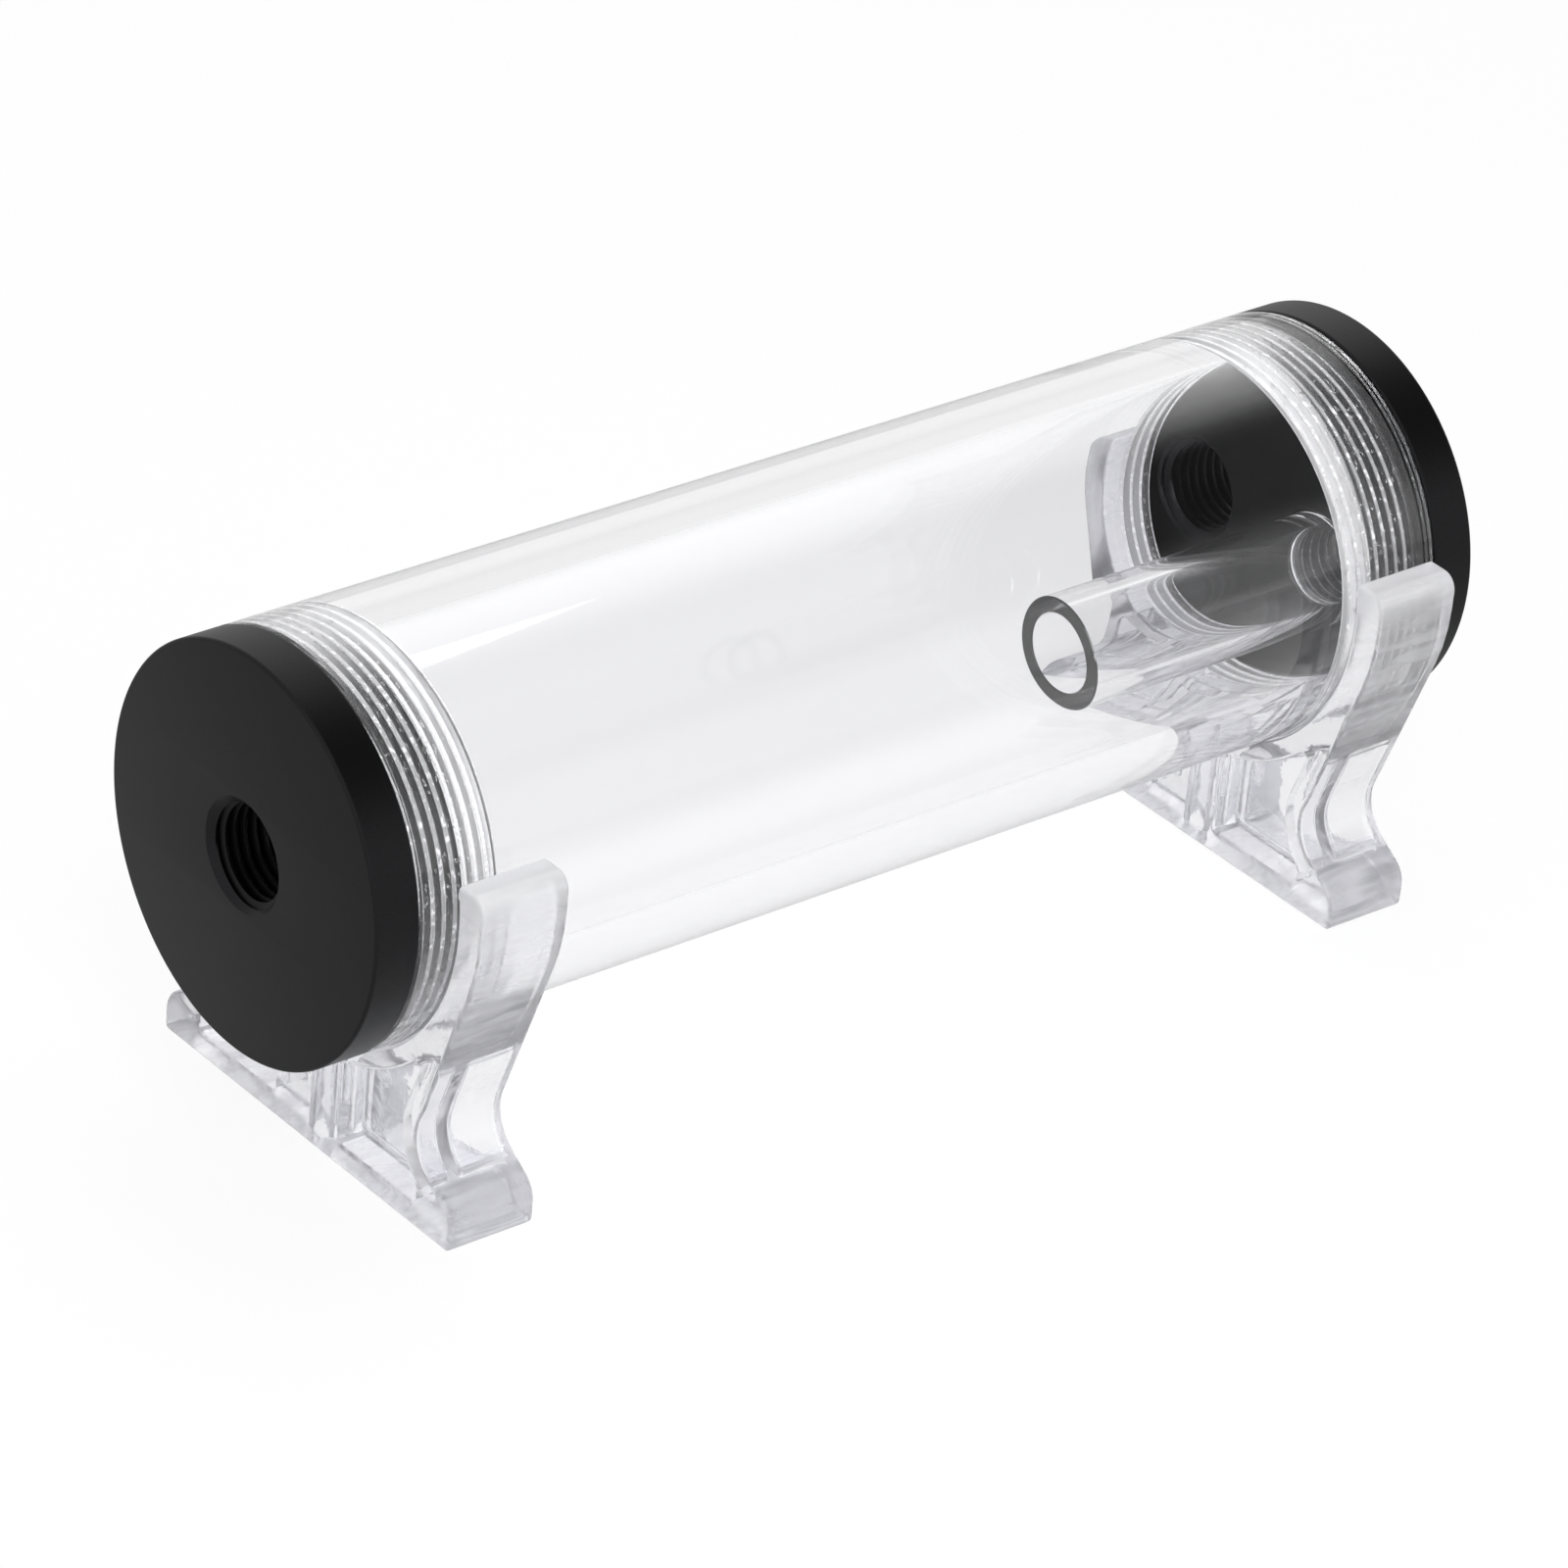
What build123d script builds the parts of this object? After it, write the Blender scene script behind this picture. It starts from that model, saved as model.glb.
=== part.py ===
from build123d import *
from math import pi
import os

# A clear cylinder reservoir lying in two clear snap clips, in millimetres.
# The tube runs along Y with the one-port cap at -Y and the two-port cap at +Y.
# The origin is on the floor under the middle of the tube, with +Z up.

# Clear tube
tube_diameter = 50.0
tube_wall = 5.0
tube_length = 150.0
tube_edge_break = 0.3

# Thread between the tube and its caps
thread_pitch = 1.5
thread_depth_per_pitch = 0.54
tube_thread_turns = 8.3
thread_lead_in = 0.8
thread_clearance = 0.05

# End caps
cap_thickness = 6.0
spigot_length = 8.0
cap_edge_break = 0.4

# Ports in the caps, for quarter inch parallel pipe thread
port_major_diameter = 13.157
port_thread_pitch = 1.337
port_thread_depth_per_pitch = 0.64
port_mouth_diameter = 13.9
port_rim_margin = 2.2

# O-ring in the face of each cap
seal_section = 1.5
seal_squeezed = 1.2
seal_inset = 2.0
seal_side_clearance = 0.3

# Inner tube, screwed into one port of the rear cap from inside
inner_tube_diameter = 13.2
inner_tube_bore = 9.4
inner_tube_length = 50.0
inner_tube_thread_turns = 7

# Snap clips
clip_width = 12.0
clip_clearance = 0.05
front_clip_gap = 5.0
rear_clip_gap = 0.8
saddle_height = 16.0
arm_thickness = 4.3
arm_rise = 5.7
arm_tip_radius = 2.2
arm_inner_round = 0.6
shoulder_drop = 3.0
shoulder_radius = 25.0
waist_half_width = 19.3
waist_height = 9.9
waist_radius = 5.4
foot_width = 55.0
foot_height = 4.75
foot_radius = 3.5
foot_bottom_radius = 0.8

# Pockets in each face of a clip, with a web between them and a pillar in the middle
clip_web = 1.5
front_pocket_depth = 4.0
pocket_wall = 2.9
pocket_reach = 20.8
pocket_corner_radius = 0.8
pillar_width = 12.0
screw_hole_diameter = 4.0
screw_head_diameter = 8.0
screw_head_depth = 4.0

# Sizes that follow from those above
tube_radius = tube_diameter / 2
bore_radius = tube_radius - tube_wall
tube_thread_length = tube_thread_turns * thread_pitch
thread_radius = bore_radius + thread_depth_per_pitch * thread_pitch / 2
spigot_radius = thread_radius - thread_clearance
axis_height = saddle_height + tube_radius
port_radius = (port_major_diameter - port_thread_depth_per_pitch * port_thread_pitch) / 2
port_mouth = port_mouth_diameter / 2 - port_radius
port_offset = spigot_radius - port_mouth_diameter / 2 - port_rim_margin
inner_tube_thread_radius = port_radius - thread_clearance
inner_tube_thread_length = inner_tube_thread_turns * port_thread_pitch
seal_round_area = pi / 4 * (seal_section**2 - seal_squeezed**2)
seal_width = seal_squeezed + seal_round_area / seal_squeezed
seal_mean_radius = tube_radius - seal_inset
groove_width = seal_width + 2 * seal_side_clearance
grip_radius = tube_radius + clip_clearance
arm_half_width = grip_radius + arm_thickness
foot_half_width = foot_width / 2

FRONT = -1
REAR = 1


def station(y, outward):
    """A plane across the tube's axis at y, centred on the axis and facing outward along Y."""
    return Plane(origin=(0, y, axis_height), x_dir=(1, 0, 0), z_dir=(0, outward, 0))


def above_floor(height):
    """A height above the floor, measured in a sketch that is centred on the tube's axis."""
    return height - axis_height


os.makedirs("parts", exist_ok=True)

# Tube: a plain pipe with a threaded stretch and a lead-in chamfer inside each end.
# The threads of this model are smooth cylinders at the pitch radius.
with BuildPart() as reservoir_tube:
    with BuildSketch(station(-tube_length / 2, REAR)):
        Circle(tube_radius)
        Circle(bore_radius, mode=Mode.SUBTRACT)
    extrude(amount=tube_length)
    for outward in (FRONT, REAR):
        with BuildSketch(station(outward * tube_length / 2, outward)):
            Circle(thread_radius)
        extrude(amount=-tube_thread_length, mode=Mode.SUBTRACT)
    end_edges = reservoir_tube.edges().group_by(Axis.Y)
    for edges in (end_edges[0], end_edges[-1]):
        rims = edges.sort_by(SortBy.RADIUS)
        chamfer(rims[0], length=thread_lead_in)
        chamfer(rims[-1], length=tube_edge_break)
reservoir_tube.part.label = "reservoir_tube"
export_step(reservoir_tube.part, "parts/reservoir_tube.step")

# Caps: a flange that seats on the tube's end, a threaded spigot that goes into it,
# a groove for the O-ring in the flange's inner face, and ports right through both.
port_places = {
    "front_cap": (FRONT, [0.0]),
    "rear_cap": (REAR, [-port_offset, port_offset]),
}
for label, (outward, port_offsets) in port_places.items():
    seat = station(outward * tube_length / 2, outward)
    with BuildPart() as cap:
        with BuildSketch(seat):
            Circle(tube_radius)
        extrude(amount=cap_thickness)
        chamfer(cap.edges(), length=cap_edge_break)
        with BuildSketch(seat):
            Circle(spigot_radius)
        extrude(amount=-spigot_length)
        spigot_rim = cap.edges().filter_by(GeomType.CIRCLE).sort_by(Axis.Y, reverse=outward > 0)[-1]
        chamfer(spigot_rim, length=thread_lead_in)
        with BuildSketch(seat):
            Circle(seal_mean_radius + groove_width / 2)
            Circle(seal_mean_radius - groove_width / 2, mode=Mode.SUBTRACT)
        extrude(amount=seal_squeezed, mode=Mode.SUBTRACT)
        with Locations(seat.offset(cap_thickness)):
            with Locations(*[(offset, 0) for offset in port_offsets]):
                Hole(port_radius)
        port_rims = cap.edges().filter_by(lambda edge: edge.geom_type == GeomType.CIRCLE
                                          and abs(edge.radius - port_radius) < thread_clearance / 10)
        chamfer(port_rims, length=port_mouth)
    cap.part.label = label
    export_step(cap.part, f"parts/{label}.step")

# O-rings, squeezed flat between the groove's floor and the tube's end
for label, outward in (("front_seal", FRONT), ("rear_seal", REAR)):
    with BuildPart() as seal:
        with BuildSketch(Plane.YZ):
            seal_middle = outward * (tube_length / 2 + seal_squeezed / 2)
            with Locations((seal_middle, axis_height + seal_mean_radius)):
                SlotOverall(seal_width, seal_squeezed, rotation=90)
        revolve(axis=Axis((0, 0, axis_height), (0, 1, 0)))
    seal.part.label = label
    export_step(seal.part, f"parts/{label}.step")

# Inner tube: its shoulder seats on the spigot's face and its thread fills the port
inner_tube_shoulder = tube_length / 2 - spigot_length
inner_tube_end = inner_tube_shoulder + inner_tube_thread_length
with BuildPart() as inner_tube:
    with BuildSketch(station(inner_tube_end - inner_tube_length, REAR)):
        with Locations((port_offset, 0)):
            Circle(inner_tube_diameter / 2)
    extrude(amount=inner_tube_length - inner_tube_thread_length)
    with BuildSketch(station(inner_tube_shoulder, REAR)):
        with Locations((port_offset, 0)):
            Circle(inner_tube_thread_radius)
    extrude(amount=inner_tube_thread_length)
    with Locations(station(inner_tube_end, REAR)):
        with Locations((port_offset, 0)):
            Hole(inner_tube_bore / 2)
inner_tube.part.label = "inner_tube"
export_step(inner_tube.part, "parts/inner_tube.step")

# Clips: one moulded profile, hollowed from both faces into an H section.
# Its arms hold the tube a little past the middle, and a screw goes down its pillar.
clip_front_faces = {
    "front_clip": -tube_length / 2 + front_clip_gap,
    "rear_clip": tube_length / 2 - rear_clip_gap - clip_width,
}
back_pocket_depth = clip_width - clip_web - front_pocket_depth
with BuildSketch() as outline:
    with BuildLine():
        FilletPolyline(
            (0, above_floor(0)),
            (foot_half_width, above_floor(0)),
            (foot_half_width, above_floor(foot_height)),
            (waist_half_width, above_floor(waist_height)),
            (arm_half_width, -shoulder_drop),
            (arm_half_width, arm_rise),
            (0, arm_rise),
            radius=[foot_bottom_radius, foot_radius, waist_radius, shoulder_radius, arm_tip_radius],
        )
        Line((0, arm_rise), (0, above_floor(0)))
    make_face()
    mirror(about=Plane.YZ)
for label, front_y in clip_front_faces.items():
    front_face = station(front_y, FRONT)
    with BuildPart() as clip:
        with BuildSketch(front_face) as profile:
            add(outline.sketch_local)
            Circle(grip_radius, mode=Mode.SUBTRACT)
            fillet(profile.vertices().group_by(Axis.Y)[-1].sort_by(Axis.X)[1:3], radius=arm_inner_round)
        extrude(amount=-clip_width)
        for face_y, outward, depth in ((front_y, FRONT, front_pocket_depth),
                                       (front_y + clip_width, REAR, back_pocket_depth)):
            with BuildSketch(station(face_y, FRONT)) as pockets:
                add(outline.sketch_local)
                offset(amount=-pocket_wall)
                Circle(grip_radius + pocket_wall, mode=Mode.SUBTRACT)
                with Locations((0, above_floor(0))):
                    Rectangle(2 * pocket_reach, axis_height, align=(Align.CENTER, Align.MIN), mode=Mode.INTERSECT)
                    Rectangle(pillar_width, axis_height, align=(Align.CENTER, Align.MIN), mode=Mode.SUBTRACT)
                fillet(pockets.vertices().group_by(Axis.Y)[0], radius=pocket_corner_radius)
            extrude(amount=outward * depth, mode=Mode.SUBTRACT)
        with Locations(Location((0, front_y + clip_width / 2, saddle_height))):
            CounterBoreHole(screw_hole_diameter / 2, screw_head_diameter / 2, screw_head_depth)
    clip.part.label = label
    export_step(clip.part, f"parts/{label}.step")
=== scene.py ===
import math

import bmesh
import bpy
from mathutils import Matrix, Vector
from mathutils.geometry import tessellate_polygon


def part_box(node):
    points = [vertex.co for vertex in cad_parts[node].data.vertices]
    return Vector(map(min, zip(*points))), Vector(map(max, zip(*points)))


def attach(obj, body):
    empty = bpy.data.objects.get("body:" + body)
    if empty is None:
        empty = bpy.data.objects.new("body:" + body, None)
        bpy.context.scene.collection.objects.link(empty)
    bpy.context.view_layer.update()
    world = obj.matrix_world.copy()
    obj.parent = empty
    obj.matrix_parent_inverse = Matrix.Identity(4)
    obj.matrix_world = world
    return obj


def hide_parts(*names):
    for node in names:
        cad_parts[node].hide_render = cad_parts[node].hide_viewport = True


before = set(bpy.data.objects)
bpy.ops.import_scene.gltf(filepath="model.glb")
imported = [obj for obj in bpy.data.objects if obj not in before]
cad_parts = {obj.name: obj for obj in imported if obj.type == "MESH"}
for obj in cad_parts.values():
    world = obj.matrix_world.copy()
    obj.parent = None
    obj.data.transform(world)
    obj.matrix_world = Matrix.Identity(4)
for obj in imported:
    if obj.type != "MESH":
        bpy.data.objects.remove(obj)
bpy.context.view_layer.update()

# A clear cylinder coolant reservoir lying in two clear moulded clips.
# The tube runs along Y, the one-port cap is at -Y and the two-port cap at +Y. Metres, +Z up.

MM = 0.001
FULL_TURN = 2 * math.pi
FRONT = -1
REAR = 1

# Places taken from the solids
TUBE_LOW, TUBE_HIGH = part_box("reservoir_tube")
INNER_LOW, INNER_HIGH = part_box("inner_tube")
CAP_LOW, CAP_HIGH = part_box("front_cap")
TUBE_RADIUS = (TUBE_HIGH[0] - TUBE_LOW[0]) / 2
AXIS_HEIGHT = (TUBE_HIGH[2] + TUBE_LOW[2]) / 2
TUBE_END = {FRONT: TUBE_LOW[1], REAR: TUBE_HIGH[1]}
CAP_THICKNESS = TUBE_LOW[1] - CAP_LOW[1]
SPIGOT_LENGTH = CAP_HIGH[1] - TUBE_LOW[1]
INNER_TUBE_RADIUS = (INNER_HIGH[0] - INNER_LOW[0]) / 2
INNER_TUBE_X = (INNER_HIGH[0] + INNER_LOW[0]) / 2
PORTS = {FRONT: [0.0], REAR: [-INNER_TUBE_X, INNER_TUBE_X]}

# Sizes of the tube and its thread
TUBE_WALL = 5 * MM
TUBE_EDGE_BREAK = 0.3 * MM
BORE_RADIUS = TUBE_RADIUS - TUBE_WALL
THREAD_PITCH = 1.5 * MM
DEPTH_PER_PITCH = 0.54
THREAD_DEPTH = DEPTH_PER_PITCH * THREAD_PITCH
THREAD_LENGTH = 8.3 * THREAD_PITCH
THREAD_RUNOUT = 0.6 * THREAD_PITCH
THREAD_CLEARANCE = 0.05 * MM
LEAD_IN = 0.8 * MM

# Sizes of the caps, with ports for quarter inch parallel pipe thread
CAP_EDGE_BREAK = 0.4 * MM
PORT_MAJOR_RADIUS = 13.157 / 2 * MM
PORT_PITCH = 1.337 * MM
PORT_DEPTH = 0.64 * PORT_PITCH
PORT_MOUTH_RADIUS = 13.9 / 2 * MM
SEAL_GROOVE_DEPTH = 1.2 * MM
SEAL_GROOVE_HALF_WIDTH = 1.165 * MM
SEAL_MEAN_RADIUS = TUBE_RADIUS - 2 * MM

# Sizes of the inner tube
INNER_BORE_RADIUS = 4.7 * MM
INNER_THREAD_LENGTH = 7 * PORT_PITCH
INNER_EDGE_BREAK = 0.15 * MM

# Sizes of the clips
CLIP_CLEARANCE = 0.05 * MM
CLIP_EDGE_ROUND = 0.5 * MM
GRIP_RADIUS = TUBE_RADIUS + CLIP_CLEARANCE
ARM_THICKNESS = 4.3 * MM
ARM_RISE = 5.7 * MM
ARM_TOP = AXIS_HEIGHT + ARM_RISE
ARM_HALF_WIDTH = GRIP_RADIUS + ARM_THICKNESS
ARM_TIP_ROUND = 2.2 * MM
ARM_INNER_ROUND = 0.6 * MM
SHOULDER_DROP = 3 * MM
SHOULDER_ROUND = 25 * MM
WAIST_HALF_WIDTH = 19.3 * MM
WAIST_HEIGHT = 9.9 * MM
WAIST_ROUND = 5.4 * MM
FOOT_HALF_WIDTH = 27.5 * MM
FOOT_HEIGHT = 4.75 * MM
FOOT_TOP_ROUND = 3.5 * MM
FOOT_BOTTOM_ROUND = 0.8 * MM
SADDLE_HEIGHT = AXIS_HEIGHT - TUBE_RADIUS
POCKET_WALL = 2.9 * MM
POCKET_REACH = 20.8 * MM
POCKET_CORNER_ROUND = 0.8 * MM
POCKET_TOP_ROUND = 0.4 * MM
FRONT_POCKET_DEPTH = 4 * MM
CLIP_WEB = 1.5 * MM
PILLAR_HALF_WIDTH = 6 * MM
SCREW_RADIUS = 2 * MM
SCREW_HEAD_RADIUS = 4 * MM
SCREW_HEAD_DEPTH = 4 * MM

# How finely round things are divided
TUBE_COLUMNS = 180
PORT_COLUMNS = 72
SCREW_COLUMNS = 48
EDGE_STEPS = 4
SADDLE_STEPS = 14
ARC_STEP = math.radians(7)
GRIP_STEP = math.radians(2.5)
JOIN_DISTANCE = 0.5e-6
SHARP_ANGLE = math.radians(32)
# A row this close to a wall's end keeps the long wall's shading straight
SUPPORT = 0.04 * MM
# How far a cutter or a backdrop stands clear of what it must not touch
CUTTER_OVERSHOOT = 2 * MM
FLOOR_GAP = 0.2 * MM

# Corners of a 60 degree thread within one pitch, and its flats as shares of the pitch
CREST_HALF = 1 / 16
FLANK = 5 / 16
THREAD_CORNERS = (-CREST_HALF, CREST_HALF, CREST_HALF + FLANK / 2, CREST_HALF + FLANK,
                  1 - CREST_HALF - FLANK, 1 - CREST_HALF - FLANK / 2)


def place_camera():
    """The camera at the photograph's angle, with a long lens."""
    azimuth = math.radians(48.601)
    elevation = math.radians(30.443)
    roll = math.radians(5.5)
    distance = 965.042 * MM
    image_width = 1600
    focal_pixels = 8500
    right_pixels = 28.871
    up_pixels = 116.611
    sensor_width = 36.0
    back = Vector((math.sin(azimuth) * math.cos(elevation),
                   -math.cos(azimuth) * math.cos(elevation),
                   math.sin(elevation)))
    level_right = Vector((0, 0, 1)).cross(back).normalized()
    level_up = back.cross(level_right)
    right = math.cos(roll) * level_right + math.sin(roll) * level_up
    up = -math.sin(roll) * level_right + math.cos(roll) * level_up
    aside = (right * right_pixels + up * up_pixels) * distance / focal_pixels
    eye = Vector((0, 0, AXIS_HEIGHT)) + back * distance - aside
    lens = bpy.data.cameras.new("photo_camera")
    lens.sensor_width = sensor_width
    lens.lens = sensor_width * focal_pixels / image_width
    lens.clip_end = 50
    camera = bpy.data.objects.new("photo_camera", lens)
    camera.matrix_world = Matrix.Translation(eye) @ Matrix((right, up, back)).transposed().to_4x4()
    bpy.context.scene.collection.objects.link(camera)
    bpy.context.scene.camera = camera


# Colours and materials

def linear(hex_code):
    """Linear RGBA of an sRGB hex colour."""
    channels = [int(hex_code[start:start + 2], 16) / 255 for start in (0, 2, 4)]
    return (*[c / 12.92 if c <= 0.04045 else ((c + 0.055) / 1.055) ** 2.4 for c in channels], 1.0)


def node(tree, kind, inputs=None, **properties):
    """Adds a node. Each input is a value, or another node's output to link."""
    made = tree.nodes.new(kind)
    for name, value in properties.items():
        setattr(made, name, value)
    for socket, value in (inputs or {}).items():
        if isinstance(value, bpy.types.NodeSocket):
            tree.links.new(value, made.inputs[socket])
        else:
            made.inputs[socket].default_value = value
    return made


def new_material(name):
    """An empty material and its node tree."""
    material = bpy.data.materials.new(name)
    material.use_nodes = True
    material.node_tree.nodes.clear()
    return material, material.node_tree


def finish_clear(tree, shader, volume=None):
    """Clear plastic throws only a thin shadow: lamps reach what is inside it."""
    path = node(tree, "ShaderNodeLightPath")
    passing = node(tree, "ShaderNodeBsdfTransparent", {"Color": linear("f4f4f6")})
    both = node(tree, "ShaderNodeMixShader", {0: path.outputs["Is Shadow Ray"], 1: shader.outputs[0],
                                              2: passing.outputs[0]})
    ends = {"Surface": both.outputs[0]}
    if volume:
        ends["Volume"] = volume.outputs[0]
    node(tree, "ShaderNodeOutputMaterial", ends)


def polished_acrylic():
    """Extruded acrylic, polished: glassy, with the slow waviness of the extrusion."""
    material, tree = new_material("acrylic_extruded_polished")
    place = node(tree, "ShaderNodeTexCoord")
    along = node(tree, "ShaderNodeMapping", {"Vector": place.outputs["Object"], "Scale": (1.0, 0.15, 1.0)})
    wave = node(tree, "ShaderNodeTexNoise", {"Vector": along.outputs[0], "Scale": 1 / (9 * MM),
                                             "Detail": 1.0})
    surface = node(tree, "ShaderNodeBump", {"Height": wave.outputs[0], "Distance": 0.006 * MM})
    shader = node(tree, "ShaderNodeBsdfPrincipled", {
        "Base Color": linear("fafafb"),
        "Roughness": 0.0,
        "IOR": 1.49,
        "Transmission Weight": 1.0,
        "Normal": surface.outputs[0],
    })
    finish_clear(tree, shader)
    return material


def cut_acrylic():
    """Acrylic as the saw and the thread cutter leave it: hazy, with fine tool marks."""
    material, tree = new_material("acrylic_machined")
    place = node(tree, "ShaderNodeTexCoord")
    marks = node(tree, "ShaderNodeTexNoise", {"Vector": place.outputs["Object"], "Scale": 1 / (0.35 * MM),
                                              "Detail": 3.0})
    surface = node(tree, "ShaderNodeBump", {"Height": marks.outputs[0], "Distance": 0.015 * MM})
    shader = node(tree, "ShaderNodeBsdfPrincipled", {
        "Base Color": linear("f6f6f7"),
        "Roughness": 0.15,
        "IOR": 1.49,
        "Transmission Weight": 1.0,
        "Normal": surface.outputs[0],
    })
    finish_clear(tree, shader)
    return material


def threaded_acrylic(name, middle_x, root, crest, whiteness):
    """Acrylic in a cut thread: hazy flanks with small nicks, crests torn white in sparse specks that catch
    the light, and frosted turns past the cap's spigot, where the cutter's lead teeth only scraped."""
    material, tree = new_material(name)
    place = node(tree, "ShaderNodeTexCoord")
    from_axis = node(tree, "ShaderNodeVectorMath", {
        0: place.outputs["Object"], 1: (middle_x, 0, AXIS_HEIGHT)}, operation="SUBTRACT")
    across = node(tree, "ShaderNodeVectorMath", {0: from_axis.outputs[0], 1: (1, 0, 1)}, operation="MULTIPLY")
    radius = node(tree, "ShaderNodeVectorMath", {0: across.outputs[0]}, operation="LENGTH")
    depth = root - crest
    near_crest = node(tree, "ShaderNodeMapRange", {
        "Value": radius.outputs["Value"], "From Min": crest + 0.09 * depth, "From Max": crest + 0.03 * depth,
        "To Min": 0.0, "To Max": 1.0})
    torn = node(tree, "ShaderNodeTexNoise", {"Vector": place.outputs["Object"], "Scale": 1 / (0.9 * MM),
                                             "Detail": 2.0, "Roughness": 0.6})
    patches = node(tree, "ShaderNodeMapRange", {
        "Value": torn.outputs[0], "From Min": 0.55, "From Max": 0.66,
        "To Min": 0.4 * whiteness, "To Max": whiteness})
    flecks = node(tree, "ShaderNodeMath", {0: near_crest.outputs[0], 1: patches.outputs[0]},
                  operation="MULTIPLY")
    place_along = node(tree, "ShaderNodeSeparateXYZ", {0: place.outputs["Object"]})
    from_middle = node(tree, "ShaderNodeMath", {0: place_along.outputs["Y"]}, operation="ABSOLUTE")
    spigot_end = TUBE_END[REAR] - SPIGOT_LENGTH
    flanks = node(tree, "ShaderNodeMapRange", {
        "Value": from_middle.outputs[0], "From Min": spigot_end - LEAD_IN, "From Max": spigot_end,
        "To Min": 0.65, "To Max": 0.95})
    clear = node(tree, "ShaderNodeMath", {0: flanks.outputs[0], 1: flecks.outputs[0]}, operation="SUBTRACT",
                 use_clamp=True)
    marks = node(tree, "ShaderNodeTexNoise", {"Vector": place.outputs["Object"], "Scale": 1 / (0.8 * MM),
                                              "Detail": 3.0})
    nicks = node(tree, "ShaderNodeMapRange", {
        "Value": marks.outputs[0], "From Min": 0.62, "From Max": 0.7, "To Min": 0.0, "To Max": 1.0})
    relief = node(tree, "ShaderNodeMath", {0: marks.outputs[0], 1: 0.2, 2: nicks.outputs[0]},
                  operation="MULTIPLY_ADD")
    surface = node(tree, "ShaderNodeBump", {"Height": relief.outputs[0], "Distance": 0.08 * MM})
    shader = node(tree, "ShaderNodeBsdfPrincipled", {
        "Base Color": linear("f8f8f9"),
        "Roughness": 0.16,
        "IOR": 1.49,
        "Transmission Weight": clear.outputs[0],
        "Normal": surface.outputs[0],
    })
    finish_clear(tree, shader)
    return material


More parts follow.
